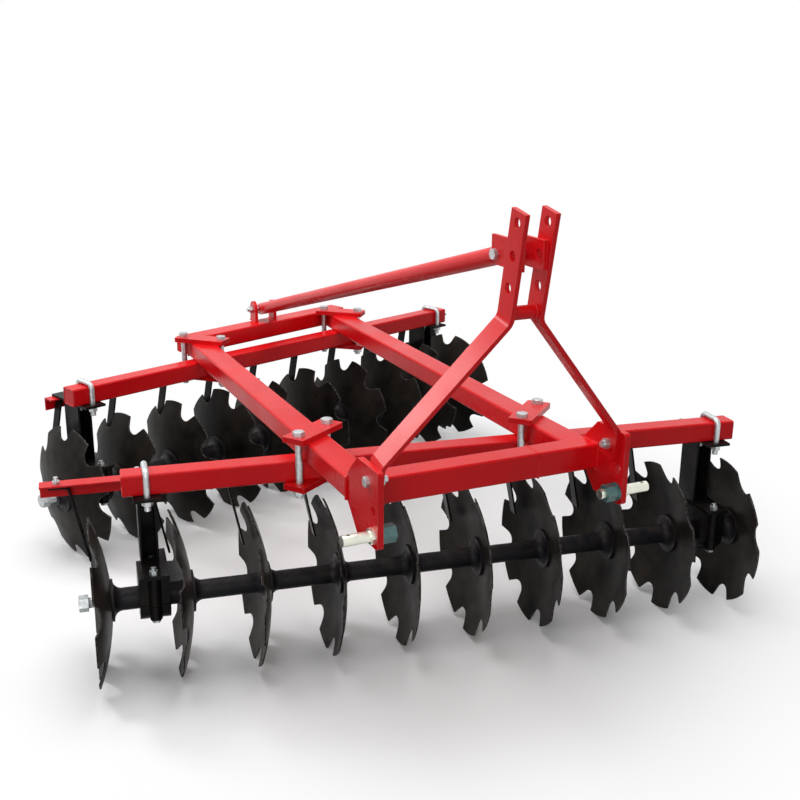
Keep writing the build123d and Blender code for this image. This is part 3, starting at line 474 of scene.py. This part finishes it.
shading = bpy.data.node_groups.new("smooth below an angle", "GeometryNodeTree")
shading.interface.new_socket("Geometry", in_out="INPUT", socket_type="NodeSocketGeometry")
shading.interface.new_socket("Geometry", in_out="OUTPUT", socket_type="NodeSocketGeometry")
came = shading.nodes.new("NodeGroupInput")
went = shading.nodes.new("NodeGroupOutput")
all_smooth = shading.nodes.new("GeometryNodeSetShadeSmooth")
angle = shading.nodes.new("GeometryNodeInputMeshEdgeAngle")
is_sharp = shading.nodes.new("FunctionNodeCompare")
is_sharp.data_type = "FLOAT"
is_sharp.operation = "GREATER_THAN"
is_sharp.inputs[1].default_value = SHARP_ANGLE
keep_sharp = shading.nodes.new("GeometryNodeSetShadeSmooth")
keep_sharp.domain = "EDGE"
keep_sharp.inputs["Shade Smooth"].default_value = False
shading.links.new(came.outputs[0], all_smooth.inputs["Geometry"])
shading.links.new(all_smooth.outputs[0], keep_sharp.inputs["Geometry"])
shading.links.new(angle.outputs["Unsigned Angle"], is_sharp.inputs[0])
shading.links.new(is_sharp.outputs[0], keep_sharp.inputs["Selection"])
shading.links.new(keep_sharp.outputs[0], went.inputs[0])


def soften(piece, rounding):
    """Rounds a piece's edges by this much and shades its curves smooth."""
    join = piece.modifiers.new("joined", "WELD")
    join.merge_threshold = SAME_POINT
    if rounding:
        bevel = piece.modifiers.new("rounded edges", "BEVEL")
        bevel.width = rounding
        bevel.segments = EDGE_SEGMENTS
        bevel.limit_method = "ANGLE"
        bevel.angle_limit = SHARP_ANGLE
    smooth = piece.modifiers.new("smooth", "NODES")
    smooth.node_group = shading
    level = piece.modifiers.new("level flats", "WEIGHTED_NORMAL")
    level.keep_sharp = True


for part in frame["record"]["subparts"]:
    piece = nodes[part["node"]]
    piece.data.materials.clear()
    piece.data.materials.append(finishes[part["material_slot"]])
    soften(piece, EDGE_ROUNDING)

# %% [markdown]
# Small things are set on the model's own bolts and tubes, so their places are read from it. Typed
# numbers would be quicker, and wrong as soon as a bolt moves. A node may hold several solids. This
# finds them, and the middle of a solid's end in a direction.

# %% Reading places from the frame
SAME_FACE = 0.3 * MM


def solids_of(node):
    """Lists of corner points, one for each solid of a node."""
    mesh = bmesh.new()
    mesh.from_mesh(nodes[node].data)
    bmesh.ops.remove_doubles(mesh, verts=mesh.verts, dist=SAME_POINT)
    left = set(mesh.verts)
    found = []
    for first in mesh.verts:
        if first not in left:
            continue
        left.remove(first)
        group = [first]
        for vertex in group:
            for edge in vertex.link_edges:
                other = edge.other_vert(vertex)
                if other in left:
                    left.remove(other)
                    group.append(other)
        found.append([vertex.co.copy() for vertex in group])
    mesh.free()
    return sorted(found, key=lambda points: (round(points[0].x, 3), round(points[0].y, 3)))


def end_towards(points, direction):
    """Middle of the solid's flat end in this direction."""
    reach = max(point.dot(direction) for point in points)
    end = [point for point in points if reach - point.dot(direction) < SAME_FACE]
    return sum(end, Vector()) / len(end)


joints = frame["record"]["behaviour"]["joints"]
axes = {joint["child"]: Vector(joint["axis"]).normalized() for joint in joints}
UP = Vector((0, 0, 1))
ACROSS = Vector((1, 0, 0))
print("bolts", {node: len(solids_of(node)) for node in ("clamp_bolts", "housing_bolts", "u_bolts")})

# %% [markdown]
# Almost every small piece here is turned: a crowned head, a thread, a nut's chamfer. Blender's spin
# tool could make each, but it works on what is selected. One helper spins an outline of (radius,
# height) pairs about any axis instead, and closes both ends.

# %% Turned shapes
TURNED_SIDES = 24
NEARLY_ACROSS = 0.7


def basis(axis):
    """Two directions square to an axis."""
    helper = ACROSS if abs(axis.x) < NEARLY_ACROSS else UP
    first = axis.cross(helper).normalized()
    return first, axis.cross(first)


def turned(mesh, centre, axis, outline, sides=TURNED_SIDES):
    """Adds the outline, spun about the axis, to a mesh."""
    first, second = basis(axis)
    rings = []
    for radius, height in outline:
        ring = []
        for i in range(sides):
            turn = 2 * math.pi * i / sides
            out = first * math.cos(turn) + second * math.sin(turn)
            ring.append(mesh.verts.new(centre + axis * height + out * radius))
        rings.append(ring)
    for low, high in zip(rings, rings[1:]):
        for i in range(sides):
            mesh.faces.new((low[i], low[(i + 1) % sides], high[(i + 1) % sides], high[i]))
    mesh.faces.new(list(reversed(rings[0])))
    mesh.faces.new(rings[-1])


def finish_piece(name, mesh, slot, body):
    """Turns a mesh into an object with its finish, riding on a body."""
    bmesh.ops.recalc_face_normals(mesh, faces=mesh.faces)
    data = bpy.data.meshes.new(name)
    mesh.to_mesh(data)
    mesh.free()
    piece = bpy.data.objects.new(name, data)
    bpy.context.scene.collection.objects.link(piece)
    piece.data.materials.append(finishes[slot])
    soften(piece, 0)
    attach(piece, body)
    print(name, len(data.polygons), "faces")


# %% [markdown]
# The face of a forged bolt head is turned to a low crown inside its six corners. A bump could
# shade it, but the crown shows at the outline of the head. So each one is a thin turned disc on
# the head that the model has.

# %% Crowned heads
CROWN_HEIGHT = 1.0 * MM
CROWN_FOOT = 0.97
CROWN_TOP = 0.86
# node, direction its heads face (None: outwards from the middle), width over the flats
HEADS = [
    ("clamp_bolts", UP, 30.0 * MM),
    ("mast_bolts", None, 24.0 * MM),
    ("housing_bolts", -UP, 21.0 * MM),
]


def crown(mesh, seat, axis, flats):
    """A low crown on a head, nearly as wide as its flats."""
    foot = flats / 2 * CROWN_FOOT
    outline = [(foot, -CROWN_HEIGHT / 2), (foot, 0), (flats / 2 * CROWN_TOP, CROWN_HEIGHT)]
    turned(mesh, seat, axis, outline)


crowns = bmesh.new()
for node, direction, flats in HEADS:
    for points in solids_of(node):
        outward = direction or ACROSS * math.copysign(1, sum(p.x for p in points))
        crown(crowns, end_towards(points, outward), outward, flats)
finish_piece("bolt_head_crowns", crowns, "zinc_plate", "frame")

# %% [markdown]
# A thread could be a helix, but at a step away its turns read as rings, and rings are lighter. Each
# one stands half a millimetre proud of the rod that the model has.

# %% Threads
THREAD_PITCH = 2.5 * MM
THREAD_DEPTH = 0.5 * MM
THREAD_END = 0.9
THREAD_SIDES = 20


def thread(mesh, start, axis, radius, length):
    """Rings of thread on a rod, from its end inwards."""
    turns = int(length / THREAD_PITCH)
    outline = [(radius * THREAD_END, 0)]
    for i in range(turns):
        outline.append((radius, i * THREAD_PITCH))
        outline.append((radius + THREAD_DEPTH, (i + 0.5) * THREAD_PITCH))
    outline.append((radius, turns * THREAD_PITCH))
    turned(mesh, start, axis, outline, THREAD_SIDES)


U_BOLT_RADIUS = 8.5 * MM
U_BOLT_THREAD = 15.0 * MM
CLAMP_BOLT_RADIUS = 10.0 * MM
CLAMP_THREAD = 7.5 * MM

threads = bmesh.new()
for points in solids_of("clamp_bolts"):
    thread(threads, end_towards(points, -UP), UP, CLAMP_BOLT_RADIUS, CLAMP_THREAD)
for points in solids_of("u_bolts"):
    middle = end_towards(points, -UP)
    feet = [p for p in points if p.z - middle.z < SAME_FACE]
    apart = (feet[0] - middle).normalized()
    for side in (-1, 1):
        foot = [p for p in feet if (p - middle).dot(apart) * side > 0]
        thread(threads, sum(foot, Vector()) / len(foot), UP, U_BOLT_RADIUS, U_BOLT_THREAD)
finish_piece("bolt_threads", threads, "zinc_plate", "frame")

# %% [markdown]
# The shaft of each gang ends in a thick stud with a hexagon nut, which turns with the discs. The
# helpers above could put these into the same piece as the other threads, but then they would stand
# still. So a gang's threads and crowns are a piece of their own that rides on the gang.

# %% Ends of the gangs
END_NUT_LENGTH = 25.0 * MM
END_NUT_FLATS = 40.0 * MM
STUD_RADIUS = 14.0 * MM
STUD_THREAD = 27.0 * MM

for body, axis in axes.items():
    ends = bmesh.new()
    for points in solids_of(f"{body.split('_')[0]}_end_nuts"):
        middle = sum(points, Vector()) / len(points)
        outward = axis if middle.dot(axis) > 0 else -axis
        face = end_towards(points, outward)
        crown(ends, face, outward, END_NUT_FLATS)
        thread(ends, face - outward * END_NUT_LENGTH, -outward, STUD_RADIUS, STUD_THREAD)
    finish_piece(f"{body}_stud_threads", ends, "zinc_plate", body)

# %% [markdown]
# Each scraper hangs from the flange of its bar by one bolt, whose nut and stud stand on top. One
# could be made and copied twenty times, but near a hanger a plate lies under the nut, so each is
# set by itself. The nut is a turned shape with six sides, chamfered above.

# %% Scraper bolts
BOLT_FROM_FOOT_END = 22.0 * MM
SCRAPER_NUT_FLATS = 19.0 * MM
SCRAPER_NUT_HEIGHT = 10.0 * MM
CHAMFER_SHARE = 0.88
SCRAPER_STUD_RADIUS = 6.0 * MM
SCRAPER_STUD_SHOW = 10.0 * MM
HANGER_PLATE = 8.0 * MM
HANGER_REACH = 55.0 * MM

scraper_bolts = bmesh.new()
for gang, hollow_side in (("front", -1), ("rear", 1)):
    axis = axes[f"{gang}_gang"] * hollow_side
    flange_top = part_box(f"{gang}_scraper_bar")[1][2]
    hangers = [
        end_towards(solids_of(f"{gang}_{side}_hanger")[0], UP).dot(axis) for side in ("left", "right")
    ]
    for points in solids_of(f"{gang}_scrapers"):
        seat = end_towards(points, axis) - axis * BOLT_FROM_FOOT_END
        below_plate = min(abs(seat.dot(axis) - hanger) for hanger in hangers) < HANGER_REACH
        seat.z = flange_top + (HANGER_PLATE if below_plate else 0)
        corner = SCRAPER_NUT_FLATS / math.sqrt(3)
        nut = [
            (corner, 0), (corner, SCRAPER_NUT_HEIGHT * CHAMFER_SHARE),
            (corner * CHAMFER_SHARE, SCRAPER_NUT_HEIGHT),
        ]
        turned(scraper_bolts, seat, UP, nut, sides=6)
        stud_end = seat + UP * (SCRAPER_NUT_HEIGHT + SCRAPER_STUD_SHOW)
        thread(scraper_bolts, stud_end, -UP, SCRAPER_STUD_RADIUS, SCRAPER_STUD_SHOW)
finish_piece("scraper_bolts", scraper_bolts, "zinc_plate", "frame")

# %% [markdown]
# The frame is welded, then painted. A weld is a row of overlapping ripples along the corner where
# two pieces meet. Bump alone would vanish at the outline, so each bead is a real rippled rod.

# %% Weld beads
RIPPLE = 2.6 * MM
RIPPLE_WAIST = 0.78
BEAD_RADIUS = 3.2 * MM
BEAD_SIDES = 8


def bead(mesh, points, radius=BEAD_RADIUS, sides=BEAD_SIDES):
    """A rippled rod along a run of points."""
    for start, end in zip(points, points[1:]):
        run = end - start
        steps = max(1, round(run.length / RIPPLE))
        outline = [
            (radius * (1.0 if i % 2 else RIPPLE_WAIST), run.length * i / steps) for i in range(steps + 1)
        ]
        turned(mesh, start, run.normalized(), outline, sides)


def loop_at(x_low, x_high, z_low, z_high, y_at):
    """A closed loop round an upright rectangle, its depth given by y_at(x)."""
    corners = [(x_low, z_low), (x_low, z_high), (x_high, z_high), (x_high, z_low), (x_low, z_low)]
    return [Vector((x, y_at(x), z)) for x, z in corners]


def tube_loop(centre, along, width, height, inset):
    """A closed loop just inside the outline of a tube's end."""
    across = UP.cross(along).normalized() * (width / 2 - inset)
    rise = UP * (height / 2 - inset)
    corners = ((-1, -1), (-1, 1), (1, 1), (1, -1), (-1, -1))
    return [centre + across * a + rise * b for a, b in corners]


# %% [markdown]
# The rails meet the front crossbeam square and the rear one at a slant, which the ends of the two
# rails show. Both headstock plates are welded round the ends of the front crossbeam, which also
# has two thin seams of its own where it was pieced together.

# %% Welds of the frame
SEAMS_FROM_MIDDLE = (-287.0 * MM, 157.0 * MM)
SEAM_RADIUS = 1.6 * MM

welds = bmesh.new()
rail_boxes = [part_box(name) for name in ("left_rail", "right_rail")]
(left_low, left_high), (right_low, right_high) = rail_boxes
slant = (right_high[1] - left_high[1]) / (right_high[0] - left_high[0])
for low, high in rail_boxes:
    bead(welds, loop_at(low[0], high[0], low[2], high[2], lambda x: low[1] + BEAD_RADIUS / 2))
    rear = loop_at(low[0], high[0], low[2], high[2], lambda x: high[1] + (x - high[0]) * slant)
    bead(welds, rear)

cross_low, cross_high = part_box("front_crossbeam")
for name, side in (("left_headstock_plate", 1), ("right_headstock_plate", 0)):
    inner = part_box(name)[side][0]
    wrap = [
        (cross_high[1], cross_high[2]), (cross_low[1], cross_high[2]),
        (cross_low[1], cross_low[2]), (cross_high[1], cross_low[2]),
    ]
    bead(welds, [Vector((inner, y, z)) for y, z in wrap])
for offset in SEAMS_FROM_MIDDLE:
    x = (cross_low[0] + cross_high[0]) / 2 + offset
    bead(welds, [Vector((x, y, z)) for y, z in wrap + wrap[:1]], SEAM_RADIUS)
print("slant of the rear crossbeam", round(math.degrees(math.atan(slant)), 1))

# %% [markdown]
# A plate closes each end of the gang beams, with a thin weld round it. The spacer of the mast has
# a ring of weld at each leg, and the clevis stands in two loops of it.

# %% Welds of ends, spacer and clevis
BEAM_WIDTH = 66.0 * MM
CAP_INSET = 4.0 * MM
CAP_BEAD = 1.8 * MM
CAP_BEAD_SIDES = 6
RING_BEAD = BEAD_RADIUS * 0.8
RING_SIDES = 16

for gang in ("front", "rear"):
    axis = axes[f"{gang}_gang"]
    low, high = (Vector(corner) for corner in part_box(f"{gang}_gang_beam"))
    size = high - low
    half = (size.x - BEAM_WIDTH * abs(axis.y)) / abs(axis.x) / 2
    for side in (-1, 1):
        end = (low + high) / 2 + axis * half * side
        bead(welds, tube_loop(end, axis, BEAM_WIDTH, size.z, CAP_INSET), CAP_BEAD, CAP_BEAD_SIDES)

low, high = (Vector(corner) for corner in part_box("mast_spacer"))
for x in (low.x, high.x):
    ring = []
    for i in range(RING_SIDES + 1):
        turn = 2 * math.pi * i / RING_SIDES
        centre = (low + high) / 2
        reach = (high.z - low.z) / 2 + BEAD_RADIUS / 3
        ring.append(Vector((x, centre.y + reach * math.cos(turn), centre.z + reach * math.sin(turn))))
    bead(welds, ring, RING_BEAD)

for points in solids_of("rear_clevis"):
    xs, ys = [p.x for p in points], [p.y for p in points]
    foot = min(p.z for p in points)
    corners = [(min(xs), min(ys)), (min(xs), max(ys)), (max(xs), max(ys)), (max(xs), min(ys))]
    bead(welds, [Vector((x, y, foot)) for x, y in corners + corners[:1]])
finish_piece("weld_beads", welds, "red_paint", "frame")
